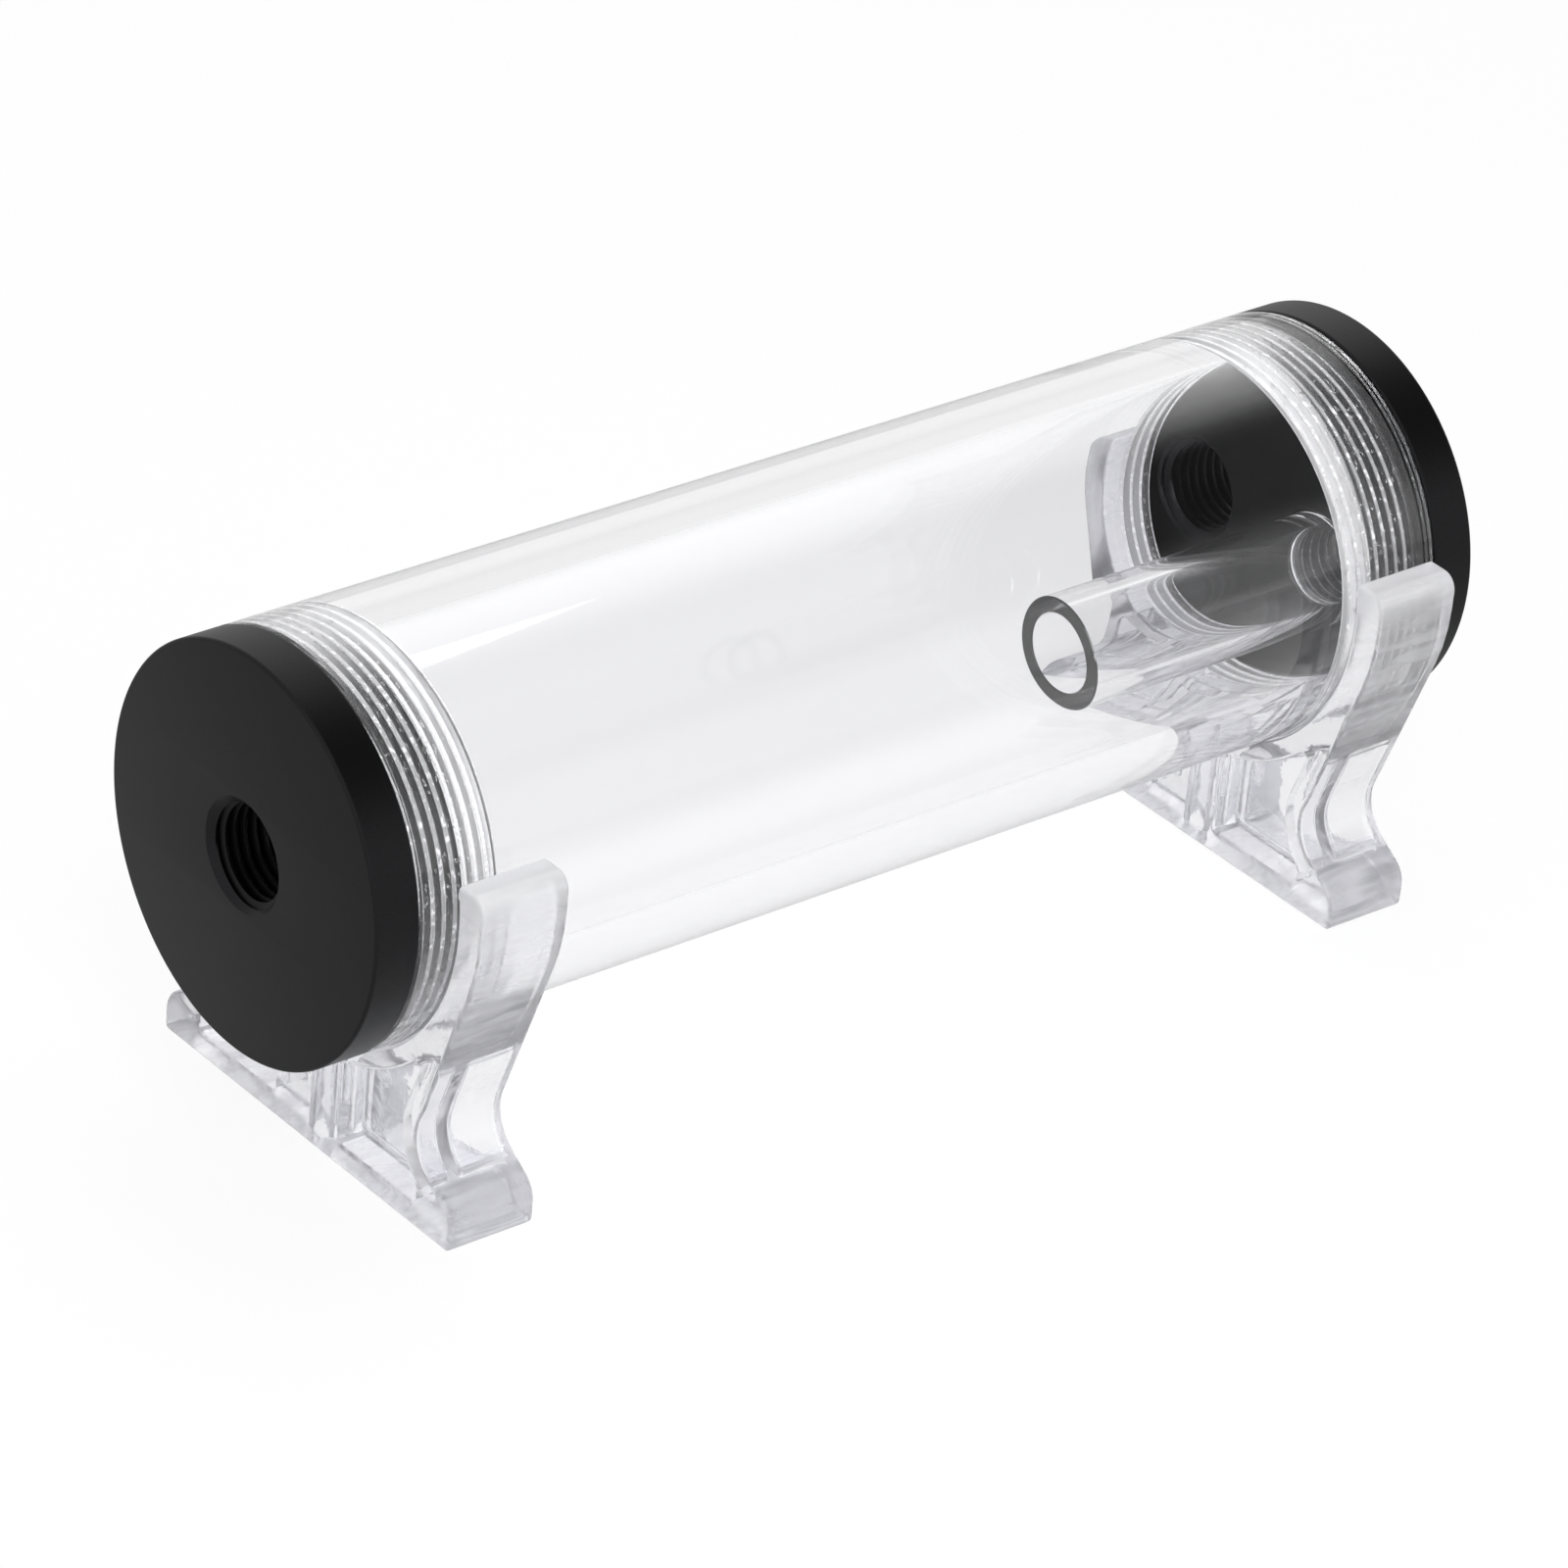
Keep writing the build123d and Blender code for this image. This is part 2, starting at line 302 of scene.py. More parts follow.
def moulded_clear():
    """Clear polycarbonate from a mould: glossy, with slow flow marks and small scuffed patches, frosted
    at the arms' tips, matte on the sole and duller on the saddle, so that its thick parts look milky."""
    material, tree = new_material("polycarbonate_moulded_clear")
    place = node(tree, "ShaderNodeTexCoord")
    along = node(tree, "ShaderNodeVectorMath", {
        0: place.outputs["Object"], 1: (1 / (3 * MM), 1 / (14 * MM), 1 / (3 * MM))}, operation="MULTIPLY")
    flow = node(tree, "ShaderNodeTexNoise", {"Vector": along.outputs[0], "Scale": 1.0, "Detail": 2.0,
                                             "Distortion": 0.6})
    height = node(tree, "ShaderNodeSeparateXYZ", {0: place.outputs["Object"]})
    frost_start = ARM_TOP - 8 * MM
    haze = node(tree, "ShaderNodeMapRange", {
        "Value": height.outputs["Z"], "From Min": frost_start, "From Max": ARM_TOP,
        "To Min": 0.08, "To Max": 0.25})
    clearness = node(tree, "ShaderNodeMapRange", {
        "Value": height.outputs["Z"], "From Min": frost_start, "From Max": ARM_TOP,
        "To Min": 0.9, "To Max": 0.6}, interpolation_type="SMOOTHSTEP")
    from_axis = node(tree, "ShaderNodeVectorMath", {
        0: place.outputs["Object"], 1: (1.0, 0.0, 1.0), 2: (0.0, 0.0, -AXIS_HEIGHT)},
        operation="MULTIPLY_ADD")
    radius = node(tree, "ShaderNodeVectorMath", {0: from_axis.outputs[0]}, operation="LENGTH")
    saddle = node(tree, "ShaderNodeMapRange", {
        "Value": radius.outputs["Value"], "From Min": GRIP_RADIUS + 0.1 * MM,
        "From Max": GRIP_RADIUS + 0.5 * MM, "To Min": 0.5, "To Max": 0.0})
    sole = node(tree, "ShaderNodeMapRange", {
        "Value": height.outputs["Z"], "From Min": 0.1 * MM, "From Max": 0.5 * MM,
        "To Min": 1.0, "To Max": 0.0})
    streaks = node(tree, "ShaderNodeMapRange", {
        "Value": flow.outputs[0], "From Min": 0.4, "From Max": 0.6, "To Min": 0.2, "To Max": 1.0})
    touched = node(tree, "ShaderNodeMath", {0: saddle.outputs[0], 1: sole.outputs[0]},
                   operation="MAXIMUM")
    matte = node(tree, "ShaderNodeMath", {0: touched.outputs[0], 1: streaks.outputs[0]},
                 operation="MULTIPLY")
    dulled = node(tree, "ShaderNodeMath", {0: matte.outputs[0], 1: 0.15, 2: haze.outputs[0]},
                  operation="MULTIPLY_ADD")
    see_through = node(tree, "ShaderNodeMath", {0: matte.outputs[0], 1: -0.6, 2: clearness.outputs[0]},
                       operation="MULTIPLY_ADD")
    scuffed = node(tree, "ShaderNodeTexNoise", {"Vector": place.outputs["Object"], "Scale": 1 / (11 * MM)})
    scuff_share = node(tree, "ShaderNodeMapRange", {
        "Value": scuffed.outputs[0], "From Min": 0.54, "From Max": 0.64, "To Min": 0.0, "To Max": 0.4})
    scuffs = node(tree, "ShaderNodeTexNoise", {"Vector": place.outputs["Object"], "Scale": 1 / (0.9 * MM),
                                               "Detail": 3.0, "Distortion": 1.5})
    marks = node(tree, "ShaderNodeMath", {0: scuffs.outputs[0], 1: scuff_share.outputs[0],
                                          2: flow.outputs[0]}, operation="MULTIPLY_ADD")
    surface = node(tree, "ShaderNodeBump", {"Height": marks.outputs[0], "Distance": 0.09 * MM})
    shader = node(tree, "ShaderNodeBsdfPrincipled", {
        "Base Color": linear("fafafc"),
        "Roughness": dulled.outputs[0],
        "IOR": 1.54,
        "Transmission Weight": see_through.outputs[0],
        "Normal": surface.outputs[0],
    })
    thickness = node(tree, "ShaderNodeVolumeAbsorption", {"Color": linear("3c3c64"), "Density": 7.0})
    finish_clear(tree, shader, thickness)
    return material


def black_anodised(name, darkest, lightest, roughness, grain_size, grain_depth):
    """Aluminium dyed black in the anodising bath: satin, with the fine grain of the surface under it."""
    material, tree = new_material(name)
    place = node(tree, "ShaderNodeTexCoord")
    grain = node(tree, "ShaderNodeTexNoise", {"Vector": place.outputs["Object"], "Scale": 1 / grain_size,
                                              "Detail": 2.0})
    tint = node(tree, "ShaderNodeValToRGB", {"Fac": grain.outputs[0]})
    tint.color_ramp.elements[0].color = linear(darkest)
    tint.color_ramp.elements[1].color = linear(lightest)
    surface = node(tree, "ShaderNodeBump", {"Height": grain.outputs[0], "Distance": grain_depth})
    shader = node(tree, "ShaderNodeBsdfPrincipled", {
        "Base Color": tint.outputs[0],
        "Metallic": 1.0,
        "Roughness": roughness,
        "Normal": surface.outputs[0],
    })
    node(tree, "ShaderNodeOutputMaterial", {"Surface": shader.outputs[0]})
    return material


def moulded_rubber():
    """Nitrile rubber from a polished mould: black with a soft sheen."""
    material, tree = new_material("nitrile_rubber_moulded")
    place = node(tree, "ShaderNodeTexCoord")
    skin = node(tree, "ShaderNodeTexNoise", {"Vector": place.outputs["Object"], "Scale": 1 / (0.3 * MM)})
    surface = node(tree, "ShaderNodeBump", {"Height": skin.outputs[0], "Distance": 0.01 * MM})
    shader = node(tree, "ShaderNodeBsdfPrincipled", {
        "Base Color": linear("1a1a1b"),
        "Roughness": 0.5,
        "Normal": surface.outputs[0],
    })
    node(tree, "ShaderNodeOutputMaterial", {"Surface": shader.outputs[0]})
    return material


# Meshes

def on_round(radius, share, y, middle_x=0.0):
    """A point on a round wall about an axis along Y, at a share of the full turn."""
    angle = FULL_TURN * share
    return Vector((middle_x + radius * math.cos(angle), y, AXIS_HEIGHT + radius * math.sin(angle)))


def ring(radius, y, columns, middle_x=0.0):
    """A closed row of points at one y. The last point repeats the first."""
    return [on_round(radius, column / columns, y, middle_x) for column in range(columns + 1)]


def add_grid(mesh, rows, finish=0):
    """Smooth quads between neighbouring rows. Points that coincide are joined later."""
    made = [[mesh.verts.new(point) for point in row] for row in rows]
    for low, high in zip(made, made[1:]):
        for left in range(len(low) - 1):
            face = mesh.faces.new((low[left], low[left + 1], high[left + 1], high[left]))
            face.smooth = True
            face.material_index = finish


def add_flat(mesh, loops, finish=0):
    """A flat face across Y from its outer loop and the loops of its holes."""
    corners = [mesh.verts.new(point) for loop in loops for point in loop]
    flat_loops = [[Vector((point.x, point.z, 0)) for point in loop] for loop in loops]
    for triangle in tessellate_polygon(flat_loops):
        face = mesh.faces.new([corners[index] for index in triangle])
        face.material_index = finish


def thread_cut(phase):
    """How deep a thread is cut at a point of its pitch: 0 on the crest and 1 in the root."""
    from_crest = abs((phase + 0.5) % 1.0 - 0.5)
    return min(max((from_crest - CREST_HALF) / FLANK, 0.0), 1.0)


def threaded(y_low, y_high, pitch, start, columns, radius_at, middle_x=0.0):
    """Rows on a right-hand threaded wall, along the helix. radius_at gives the radius from y and phase."""
    first = math.floor((y_low - start) / pitch) - 1
    last = math.ceil((y_high - start) / pitch) + 1
    rows = []
    for turn in range(first, last + 1):
        for corner in THREAD_CORNERS:
            row = []
            for column in range(columns + 1):
                share = column / columns
                y = min(max(start + (turn + corner - share) * pitch, y_low), y_high)
                phase = (y - start) / pitch + share
                row.append(on_round(radius_at(y, phase), share, y, middle_x))
            rows.append(row)
    return rows


def threaded_ring(y, pitch, start, columns, radius_at, middle_x=0.0):
    """The closed row of points where a threaded wall ends at y."""
    return [on_round(radius_at(y, (y - start) / pitch + column / columns), column / columns, y, middle_x)
            for column in range(columns + 1)]


def rounded(corners):
    """A line of points through corners ((x, z), radius), each corner an arc of its radius."""
    points = []
    for (before, _), (corner, radius), (after, _) in zip(corners, corners[1:], corners[2:]):
        corner, before, after = Vector(corner), Vector(before), Vector(after)
        arriving = (corner - before).normalized()
        leaving = (after - corner).normalized()
        if radius == 0:
            points.append(corner)
            continue
        turn = arriving.angle_signed(leaving)
        setback = radius * math.tan(abs(turn) / 2)
        side = Vector((-arriving.y, arriving.x)) * (-1 if turn > 0 else 1)
        start = corner - arriving * setback
        middle = start + side * radius
        steps = max(2, math.ceil(abs(turn) / ARC_STEP))
        for step in range(steps + 1):
            spoke = start - middle
            spoke.rotate(Matrix.Rotation(-turn * step / steps, 2))
            points.append(middle + spoke)
    return points


def grown(loop, amount):
    """A closed loop of (x, z) moved outwards by an amount, for a loop that runs anticlockwise."""
    moved = []
    for index, point in enumerate(loop):
        before = (point - loop[index - 1]).normalized()
        after = (loop[(index + 1) % len(loop)] - point).normalized()
        outward = Vector((before.y + after.y, -before.x - after.x)).normalized()
        spread = max(outward.dot(Vector((before.y, -before.x))), 0.5)
        moved.append(point + outward * amount / spread)
    return moved


def edge_round(radius):
    """Steps (inset from the wall, drop from the face) over a rounded edge, and just down the wall."""
    turns = [math.pi / 2 * step / EDGE_STEPS for step in range(EDGE_STEPS + 1)]
    steps = [(radius * (1 - math.sin(turn)), radius * (1 - math.cos(turn))) for turn in turns]
    return steps + [(0.0, radius + SUPPORT)]


def at_y(loop, y):
    """A closed loop of (x, z) above the floor as points in space at one y."""
    return [Vector((point.x, y, point.y)) for point in loop]


def closed(row):
    """A row whose last point repeats the first."""
    return row + row[:1]


def make_piece(name, mesh, finishes, body, node_name):
    """Joins a mesh's points, and puts it in its node's place on its body."""
    bmesh.ops.remove_doubles(mesh, verts=mesh.verts, dist=JOIN_DISTANCE)
    bmesh.ops.dissolve_degenerate(mesh, edges=mesh.edges, dist=JOIN_DISTANCE)
    bmesh.ops.recalc_face_normals(mesh, faces=mesh.faces)
    data = bpy.data.meshes.new(name)
    mesh.to_mesh(data)
    mesh.free()
    data.set_sharp_from_angle(angle=SHARP_ANGLE)
    for finish in finishes:
        data.materials.append(finish)
    piece = bpy.data.objects.new(name, data)
    bpy.context.scene.collection.objects.link(piece)
    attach(piece, body)
    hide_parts(node_name)
    return piece


# The tube

def tube_thread_radius(outward):
    """Radius of the tube's cut thread at y and phase: a lead-in at the mouth and a run-out inside."""
    mouth = TUBE_END[outward]

    def radius_at(y, phase):
        inside = abs(y - mouth)
        fade = min(max((THREAD_LENGTH - inside) / THREAD_RUNOUT, 0.0), 1.0)
        groove = BORE_RADIUS + THREAD_DEPTH * (1 - thread_cut(phase)) * fade
        lead_in = BORE_RADIUS + THREAD_DEPTH / 2 + LEAD_IN - inside
        return max(groove, lead_in)
    return radius_at


def make_tube(polished, cut):
    mesh = bmesh.new()
    low, high = TUBE_END[FRONT], TUBE_END[REAR]
    add_grid(mesh, [
        ring(TUBE_RADIUS - TUBE_EDGE_BREAK, low, TUBE_COLUMNS),
        ring(TUBE_RADIUS, low + TUBE_EDGE_BREAK, TUBE_COLUMNS),
        ring(TUBE_RADIUS, high - TUBE_EDGE_BREAK, TUBE_COLUMNS),
        ring(TUBE_RADIUS - TUBE_EDGE_BREAK, high, TUBE_COLUMNS),
    ])
    bore_low = low + THREAD_LENGTH
    bore_high = high - THREAD_LENGTH
    add_grid(mesh, [ring(BORE_RADIUS, y, TUBE_COLUMNS)
                    for y in (bore_low, bore_low + SUPPORT, bore_high - SUPPORT, bore_high)])
    for outward in (FRONT, REAR):
        mouth = TUBE_END[outward]
        inner = mouth - outward * THREAD_LENGTH
        radius_at = tube_thread_radius(outward)
        add_grid(mesh, threaded(min(mouth, inner), max(mouth, inner), THREAD_PITCH, mouth, TUBE_COLUMNS,
                                radius_at), finish=1)
        add_grid(mesh, [
            threaded_ring(mouth, THREAD_PITCH, mouth, TUBE_COLUMNS, radius_at),
            ring(TUBE_RADIUS - TUBE_EDGE_BREAK, mouth, TUBE_COLUMNS),
        ], finish=1)
    make_piece("threaded_tube", mesh, [polished, cut], "tube", "reservoir_tube")


# The caps

def spigot_radius(outward):
    """Radius of a cap's thread at y and phase, with a chamfer at the spigot's end."""
    seat = TUBE_END[outward]

    def radius_at(y, phase):
        to_end = SPIGOT_LENGTH - abs(y - seat)
        thread = BORE_RADIUS + THREAD_DEPTH - THREAD_CLEARANCE - THREAD_DEPTH * thread_cut(phase)
        chamfer = BORE_RADIUS + THREAD_DEPTH / 2 - THREAD_CLEARANCE - LEAD_IN + to_end
        return min(thread, chamfer)
    return radius_at


def port_radius(outward):
    """Radius of a port's thread at y and phase, with a wider mouth at both ends."""
    face = TUBE_END[outward] + outward * CAP_THICKNESS
    floor = TUBE_END[outward] - outward * SPIGOT_LENGTH

    def radius_at(y, phase):
        to_end = min(abs(y - face), abs(y - floor))
        return max(PORT_MAJOR_RADIUS - PORT_DEPTH * thread_cut(phase), PORT_MOUTH_RADIUS - to_end)
    return radius_at


def make_cap(name, outward, body, node_name, blasted, turned):
    mesh = bmesh.new()
    seat = TUBE_END[outward]
    face = seat + outward * CAP_THICKNESS
    spigot_end = seat - outward * SPIGOT_LENGTH
    edge = [(TUBE_RADIUS - inset, drop) for inset, drop in edge_round(CAP_EDGE_BREAK)]
    groove_outer = SEAL_MEAN_RADIUS + SEAL_GROOVE_HALF_WIDTH
    groove_inner = SEAL_MEAN_RADIUS - SEAL_GROOVE_HALF_WIDTH
    groove_floor = seat + outward * SEAL_GROOVE_DEPTH
    rim = [ring(radius, face - outward * drop, TUBE_COLUMNS) for radius, drop in edge]
    rim += [ring(radius, seat + outward * drop, TUBE_COLUMNS) for radius, drop in reversed(edge)]
    add_grid(mesh, rim)
    add_grid(mesh, [
        rim[-1],
        ring(groove_outer, seat, TUBE_COLUMNS),
        ring(groove_outer, groove_floor, TUBE_COLUMNS),
        ring(groove_inner, groove_floor, TUBE_COLUMNS),
        ring(groove_inner, seat, TUBE_COLUMNS),
        threaded_ring(seat, THREAD_PITCH, seat, TUBE_COLUMNS, spigot_radius(outward)),
    ])
    add_grid(mesh, threaded(min(seat, spigot_end), max(seat, spigot_end), THREAD_PITCH, seat, TUBE_COLUMNS,
                            spigot_radius(outward)), finish=1)
    spigot_rim = threaded_ring(spigot_end, THREAD_PITCH, seat, TUBE_COLUMNS, spigot_radius(outward))
    for finish, (outline, y) in enumerate(((rim[0], face), (spigot_rim, spigot_end))):
        mouths = [ring(PORT_MOUTH_RADIUS, y, PORT_COLUMNS, middle_x)[:-1] for middle_x in PORTS[outward]]
        add_flat(mesh, [outline[:-1]] + mouths, finish)
    for middle_x in PORTS[outward]:
        add_grid(mesh, threaded(min(face, spigot_end), max(face, spigot_end), PORT_PITCH, seat, PORT_COLUMNS,
                                port_radius(outward), middle_x))
    make_piece(name, mesh, [blasted, turned], body, node_name)


# The inner tube

def make_inner_tube(polished, cut, thread):
    mesh = bmesh.new()
    seat = TUBE_END[REAR]
    low = INNER_LOW[1]
    high = INNER_HIGH[1]
    shoulder = high - INNER_THREAD_LENGTH
    chamfer = PORT_DEPTH

    def radius_at(y, phase):
        ridge = PORT_MAJOR_RADIUS - THREAD_CLEARANCE - PORT_DEPTH * thread_cut(phase)
        return min(ridge, PORT_MAJOR_RADIUS - chamfer + (high - y))

    def inner_ring(radius, y):
        return ring(radius, y, PORT_COLUMNS, INNER_TUBE_X)

    add_grid(mesh, [
        inner_ring(INNER_BORE_RADIUS + INNER_EDGE_BREAK, low),
        inner_ring(INNER_TUBE_RADIUS - INNER_EDGE_BREAK, low),
    ], finish=1)
    add_grid(mesh, [
        inner_ring(INNER_TUBE_RADIUS - INNER_EDGE_BREAK, low),
        inner_ring(INNER_TUBE_RADIUS, low + INNER_EDGE_BREAK),
        inner_ring(INNER_TUBE_RADIUS, shoulder - INNER_EDGE_BREAK),
        inner_ring(INNER_TUBE_RADIUS - INNER_EDGE_BREAK, shoulder),
        threaded_ring(shoulder, PORT_PITCH, seat, PORT_COLUMNS, radius_at, INNER_TUBE_X),
    ])
    add_grid(mesh, threaded(shoulder, high, PORT_PITCH, seat, PORT_COLUMNS, radius_at, INNER_TUBE_X),
             finish=2)
    add_grid(mesh, [
        threaded_ring(high, PORT_PITCH, seat, PORT_COLUMNS, radius_at, INNER_TUBE_X),
        inner_ring(INNER_BORE_RADIUS, high),
    ], finish=1)
    add_grid(mesh, [
        inner_ring(INNER_BORE_RADIUS, high),
        inner_ring(INNER_BORE_RADIUS, low + INNER_EDGE_BREAK),
        inner_ring(INNER_BORE_RADIUS + INNER_EDGE_BREAK, low),
    ])
    finishes = [polished, cut, thread]
    make_piece("threaded_inner_tube", mesh, finishes, "flow_tube", "inner_tube")


# The clips

def clip_outline():
    """The clip's profile as a closed anticlockwise loop of (x, z) above the floor."""
    tip_angle = math.asin(ARM_RISE / GRIP_RADIUS)
    tip = (GRIP_RADIUS * math.cos(tip_angle), ARM_TOP)
    down_grip = (tip[0] + math.sin(tip_angle) * MM, tip[1] - math.cos(tip_angle) * MM)
    right = rounded([
        ((0, 0), 0),
        ((FOOT_HALF_WIDTH, 0), FOOT_BOTTOM_ROUND),
        ((FOOT_HALF_WIDTH, FOOT_HEIGHT), FOOT_TOP_ROUND),
        ((WAIST_HALF_WIDTH, WAIST_HEIGHT), WAIST_ROUND),
        ((ARM_HALF_WIDTH, AXIS_HEIGHT - SHOULDER_DROP), SHOULDER_ROUND),
        ((ARM_HALF_WIDTH, ARM_TOP), ARM_TIP_ROUND),
        (tip, ARM_INNER_ROUND),
        (down_grip, 0),
    ])
    start = tip_angle - 1.2 * ARM_INNER_ROUND / GRIP_RADIUS
    steps = math.ceil((start + math.pi / 2) / GRIP_STEP)
    for step in range(steps + 1):
        angle = start - (start + math.pi / 2) * step / steps
        right.append(Vector((GRIP_RADIUS * math.cos(angle), AXIS_HEIGHT + GRIP_RADIUS * math.sin(angle))))
    left = [Vector((-point.x, point.y)) for point in reversed(right[:-1])]
    return right + left


def meeting(start, along, other_start, other_along):
    """Where two lines in the plane meet."""
    across = along.cross(other_along)
    return start + along * ((other_start - start).cross(other_along) / across)


def pocket_outline():
    """The right-hand pocket as a closed anticlockwise loop: between pillar, base, waist and saddle."""
    foot = Vector((FOOT_HALF_WIDTH, FOOT_HEIGHT))
    waist = Vector((WAIST_HALF_WIDTH, WAIST_HEIGHT))
    shoulder = Vector((ARM_HALF_WIDTH, AXIS_HEIGHT - SHOULDER_DROP))
    slope = (waist - foot).normalized()
    flank = (shoulder - waist).normalized()
    slope_start = foot + Vector((-slope.y, slope.x)) * POCKET_WALL
    flank_start = waist + Vector((-flank.y, flank.x)) * POCKET_WALL
    foot_top = meeting(slope_start, slope, Vector((POCKET_REACH, 0)), Vector((0, 1)))
    inner_waist = meeting(slope_start, slope, flank_start, flank)
    saddle_radius = GRIP_RADIUS + POCKET_WALL
    from_axis = flank_start - Vector((0, AXIS_HEIGHT))
    half = from_axis.dot(flank)
    reach = -half - math.sqrt(half ** 2 - from_axis.length_squared + saddle_radius ** 2)
    top = flank_start + flank * reach
    start = math.atan2(top.y - AXIS_HEIGHT, top.x)
    stop = -math.acos(PILLAR_HALF_WIDTH / saddle_radius)
    pillar_top = Vector((PILLAR_HALF_WIDTH, AXIS_HEIGHT + saddle_radius * math.sin(stop)))
    along_saddle = Vector((math.sin(start), -math.cos(start)))
    into_pillar = Vector((-math.sin(stop), math.cos(stop)))
    loop = rounded([
        (pillar_top, 0),
        ((PILLAR_HALF_WIDTH, POCKET_WALL), POCKET_CORNER_ROUND),
        ((POCKET_REACH, POCKET_WALL), POCKET_CORNER_ROUND),
        (foot_top, POCKET_CORNER_ROUND),
        (inner_waist, WAIST_ROUND + POCKET_WALL),
        (top, POCKET_TOP_ROUND),
        (top + along_saddle * MM, 0),
    ])
    corner_room = 1.2 * MM / saddle_radius
    for step in range(SADDLE_STEPS + 1):
        angle = start - corner_room + (stop - start + 2 * corner_room) * step / SADDLE_STEPS
        loop.append(Vector((saddle_radius * math.cos(angle), AXIS_HEIGHT + saddle_radius * math.sin(angle))))
    loop += rounded([
        (pillar_top + into_pillar * MM, 0),
        (pillar_top, POCKET_CORNER_ROUND),
        ((PILLAR_HALF_WIDTH, 0), 0),
    ])
    return loop


def screw_cutter():
    """A stepped round bar that cuts the screw hole and the seat for its head."""
    bar = bmesh.new()
    step_height = SADDLE_HEIGHT - SCREW_HEAD_DEPTH
    profile = [
        (SCREW_RADIUS, -CUTTER_OVERSHOOT),
        (SCREW_RADIUS, step_height),
        (SCREW_HEAD_RADIUS, step_height),
        (SCREW_HEAD_RADIUS, SADDLE_HEIGHT + CUTTER_OVERSHOOT),
    ]
    turns = [FULL_TURN * column / SCREW_COLUMNS for column in range(SCREW_COLUMNS + 1)]
    rows = [[Vector((radius * math.cos(turn), radius * math.sin(turn), height)) for turn in turns]
            for radius, height in profile]
    add_grid(bar, rows)
    for row in (rows[0], rows[-1]):
        bar.faces.new([bar.verts.new(point) for point in row[:-1]])
    bmesh.ops.remove_doubles(bar, verts=bar.verts, dist=JOIN_DISTANCE)
    bmesh.ops.recalc_face_normals(bar, faces=bar.faces)
    data = bpy.data.meshes.new("screw_cutter")
    bar.to_mesh(data)
    bar.free()
    cutter = bpy.data.objects.new("screw_cutter", data)
    bpy.context.scene.collection.objects.link(cutter)
    return cutter


def make_clip(name, body, node_name, plastic):
    mesh = bmesh.new()
    low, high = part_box(node_name)
    front_y, back_y = low[1], high[1]
    outline = clip_outline()
    right_pocket = pocket_outline()
    left_pocket = [Vector((-point.x, point.y)) for point in reversed(right_pocket)]
    edge = edge_round(CLIP_EDGE_ROUND)
    outer_rows = [closed(at_y(grown(outline, -inset), front_y + drop)) for inset, drop in edge]
    outer_rows += [closed(at_y(grown(outline, -inset), back_y - drop)) for inset, drop in reversed(edge)]
    add_grid(mesh, outer_rows)
    back_pocket_depth = back_y - front_y - CLIP_WEB - FRONT_POCKET_DEPTH
    for face_y, inward, depth in ((front_y, 1, FRONT_POCKET_DEPTH), (back_y, -1, back_pocket_depth)):
        mouths = []
        for pocket in (right_pocket, left_pocket):
            rows = [at_y(grown(pocket, inset), face_y + inward * drop) for inset, drop in edge]
            rows += [at_y(grown(pocket, -inset), face_y + inward * (depth - drop))
                     for inset, drop in reversed(edge)]
            add_grid(mesh, [closed(row) for row in rows])
            add_flat(mesh, [rows[-1]])
            mouths.append(rows[0])
        add_flat(mesh, [at_y(grown(outline, -CLIP_EDGE_ROUND), face_y)] + mouths)
    piece = make_piece(name, mesh, [plastic], body, node_name)
    cutter = screw_cutter()
    cutter.location.y = (front_y + back_y) / 2
    cut = piece.modifiers.new("screw_hole", "BOOLEAN")
    cut.object = cutter
    cut.solver = "EXACT"
    bpy.context.view_layer.update()
    drilled = bpy.data.meshes.new_from_object(piece.evaluated_get(bpy.context.evaluated_depsgraph_get()))
    piece.modifiers.clear()
    piece.data = drilled
    drilled.set_sharp_from_angle(angle=SHARP_ANGLE)
    bpy.data.objects.remove(cutter)


# The studio

def white_where_seen(tree, lit, seen):
    """One value for rays that light things, and another, or a node's, where the camera or a gloss looks."""
    path = node(tree, "ShaderNodeLightPath")
    some = node(tree, "ShaderNodeMath", {0: path.outputs["Is Camera Ray"], 1: path.outputs["Is Glossy Ray"]},
                operation="MAXIMUM")
    any_look = node(tree, "ShaderNodeMath", {0: some.outputs[0], 1: path.outputs["Is Transmission Ray"]},
                    operation="MAXIMUM")
    return node(tree, "ShaderNodeMix", {"Factor": any_look.outputs[0], "A": lit, "B": seen},
                data_type="FLOAT").outputs[0]


def glow_towards(tree, direction, inner, outer, strength):
    """A soft round patch of light in the sky, full within the inner angle and gone at the outer one."""
    place = node(tree, "ShaderNodeTexCoord")
    facing = node(tree, "ShaderNodeVectorMath", {
        0: place.outputs["Generated"], 1: Vector(direction).normalized()}, operation="DOT_PRODUCT")
    return node(tree, "ShaderNodeMapRange", {
        "Value": facing.outputs["Value"], "From Min": math.cos(math.radians(outer)),
        "From Max": math.cos(math.radians(inner)), "To Min": 0.0, "To Max": strength},
        interpolation_type="SMOOTHSTEP").outputs[0]


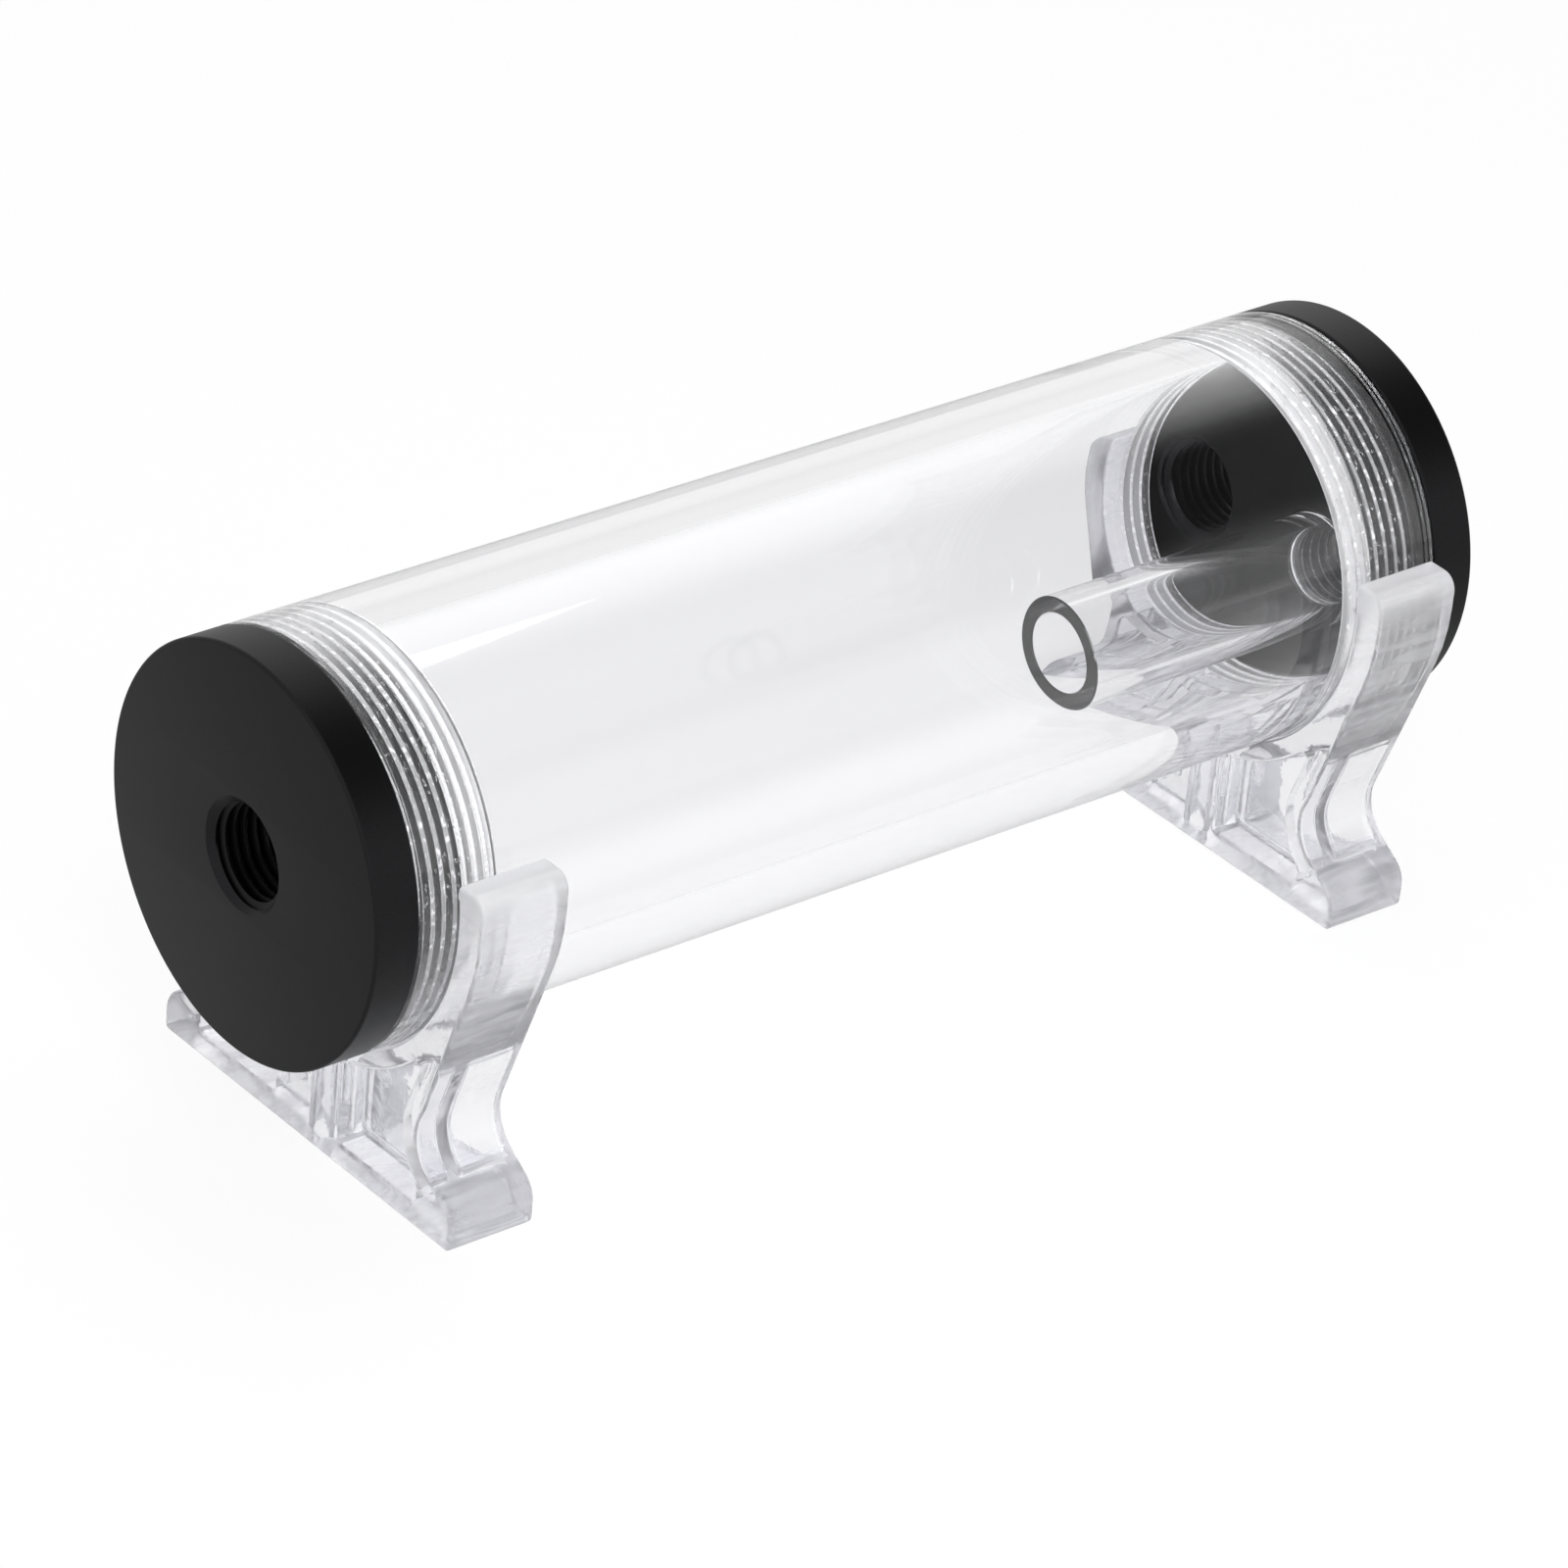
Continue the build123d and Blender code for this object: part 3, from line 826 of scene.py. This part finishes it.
def make_world():
    """A pale studio, white where the camera looks. Gloss also shows a dark screen and a round softbox,
    both high at the back."""
    world = bpy.data.worlds.new("studio_room")
    bpy.context.scene.world = world
    world.use_nodes = True
    tree = world.node_tree
    tree.nodes.clear()
    path = node(tree, "ShaderNodeLightPath")
    place = node(tree, "ShaderNodeTexCoord")
    height = node(tree, "ShaderNodeSeparateXYZ", {0: place.outputs["Generated"]})
    room = node(tree, "ShaderNodeMapRange", {
        "Value": height.outputs["Z"], "From Min": 0.3, "From Max": 0.9, "To Min": 0.86, "To Max": 0.8})
    screen = glow_towards(tree, direction=(0.283, 0.606, 0.743), inner=16, outer=38, strength=0.92)
    open_share = node(tree, "ShaderNodeMath", {0: 1.0, 1: screen}, operation="SUBTRACT")
    screened = node(tree, "ShaderNodeMath", {0: room.outputs[0], 1: open_share.outputs[0]},
                    operation="MULTIPLY")
    softbox = glow_towards(tree, direction=(-0.54, 0.64, 0.545), inner=5, outer=22, strength=0.5)
    seen = node(tree, "ShaderNodeMath", {0: screened.outputs[0], 1: softbox}, operation="ADD")
    white = node(tree, "ShaderNodeMath", {0: seen.outputs[0], 1: path.outputs["Is Camera Ray"]},
                 operation="MAXIMUM")
    back = node(tree, "ShaderNodeBackground", {
        "Color": linear("ffffff"), "Strength": white_where_seen(tree, lit=0.28, seen=white.outputs[0])})
    node(tree, "ShaderNodeOutputWorld", {"Surface": back.outputs[0]})


def make_floor():
    """A large white table that stays white and keeps a soft shadow."""
    half = 6.0
    data = bpy.data.meshes.new("studio_floor")
    corners = [(x, y, -FLOOR_GAP) for x, y in ((-half, -half), (half, -half), (half, half), (-half, half))]
    data.from_pydata(corners, [], [(0, 1, 2, 3)])
    floor = bpy.data.objects.new("studio_floor", data)
    bpy.context.scene.collection.objects.link(floor)
    material, tree = new_material("studio_white_paper")
    path = node(tree, "ShaderNodeLightPath")
    mirrored = node(tree, "ShaderNodeMath", {0: path.outputs["Is Glossy Ray"],
                                             1: path.outputs["Is Transmission Ray"]}, operation="SUBTRACT")
    shade = node(tree, "ShaderNodeMix", {"Factor": mirrored.outputs[0], "A": 0.15, "B": 0.5},
                 data_type="FLOAT")
    white = node(tree, "ShaderNodeMix", {"Factor": mirrored.outputs[0], "A": 0.87, "B": 0.25},
                 data_type="FLOAT")
    paper = node(tree, "ShaderNodeBsdfDiffuse", {"Color": shade.outputs[0]})
    glow = node(tree, "ShaderNodeEmission", {
        "Strength": white_where_seen(tree, lit=0.35, seen=white.outputs[0])})
    both = node(tree, "ShaderNodeAddShader", {0: paper.outputs[0], 1: glow.outputs[0]})
    node(tree, "ShaderNodeOutputMaterial", {"Surface": both.outputs[0]})
    data.materials.append(material)


def add_lamp(name, direction, distance, width, length, watts):
    """A soft rectangular lamp that looks at the tube's middle. Gloss shows the room, not the lamp."""
    lamp = bpy.data.lights.new(name, "AREA")
    lamp.shape = "RECTANGLE"
    lamp.size = width
    lamp.size_y = length
    lamp.energy = watts
    lamp_object = bpy.data.objects.new(name, lamp)
    away = Vector(direction).normalized()
    lamp_object.location = Vector((0, 0, AXIS_HEIGHT)) + away * distance
    lamp_object.rotation_euler = away.to_track_quat("Z", "Y").to_euler()
    lamp_object.visible_glossy = False
    bpy.context.scene.collection.objects.link(lamp_object)


place_camera()
make_world()
make_floor()
add_lamp("top_softbox", direction=(-0.2, 0.1, 1.0), distance=0.8, width=0.5, length=0.9, watts=3.0)
add_lamp("side_softbox", direction=(1.0, -0.6, 0.9), distance=0.9, width=0.4, length=0.6, watts=3.8)

acrylic = polished_acrylic()
acrylic_cut = cut_acrylic()
acrylic_tube_thread = threaded_acrylic(
    "acrylic_tube_thread_cut", middle_x=0.0, root=BORE_RADIUS + THREAD_DEPTH, crest=BORE_RADIUS,
    whiteness=0.9)
acrylic_port_thread = threaded_acrylic(
    "acrylic_port_thread_cut", middle_x=INNER_TUBE_X, root=PORT_MAJOR_RADIUS - THREAD_CLEARANCE - PORT_DEPTH,
    crest=PORT_MAJOR_RADIUS - THREAD_CLEARANCE, whiteness=0.9)
# Bead blasting leaves the flanges satin and lightly speckled. The lathe leaves the spigots smoother, and
# they are also drawn darker. Both grains are drawn about twice as coarse as real ones, so that they show.
anodised = black_anodised(
    "aluminium_bead_blasted_black_anodised", darkest="252526", lightest="313133", roughness=0.42,
    grain_size=0.2 * MM, grain_depth=0.009 * MM)
anodised_turned = black_anodised(
    "aluminium_turned_black_anodised", darkest="151516", lightest="1a1a1b", roughness=0.3,
    grain_size=0.12 * MM, grain_depth=0.002 * MM)
clear_moulding = moulded_clear()
rubber = moulded_rubber()

make_tube(acrylic, acrylic_tube_thread)
make_cap("front_end_cap", FRONT, "front_end", "front_cap", anodised, anodised_turned)
make_cap("rear_end_cap", REAR, "rear_end", "rear_cap", anodised, anodised_turned)
make_inner_tube(acrylic, acrylic_cut, acrylic_port_thread)
make_clip("front_moulded_clip", "front_holder", "front_clip", clear_moulding)
make_clip("rear_moulded_clip", "rear_holder", "rear_clip", clear_moulding)
for seal in ("front_seal", "rear_seal"):
    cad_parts[seal].data.materials.clear()
    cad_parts[seal].data.materials.append(rubber)

bpy.context.scene.view_settings.view_transform = "Standard"
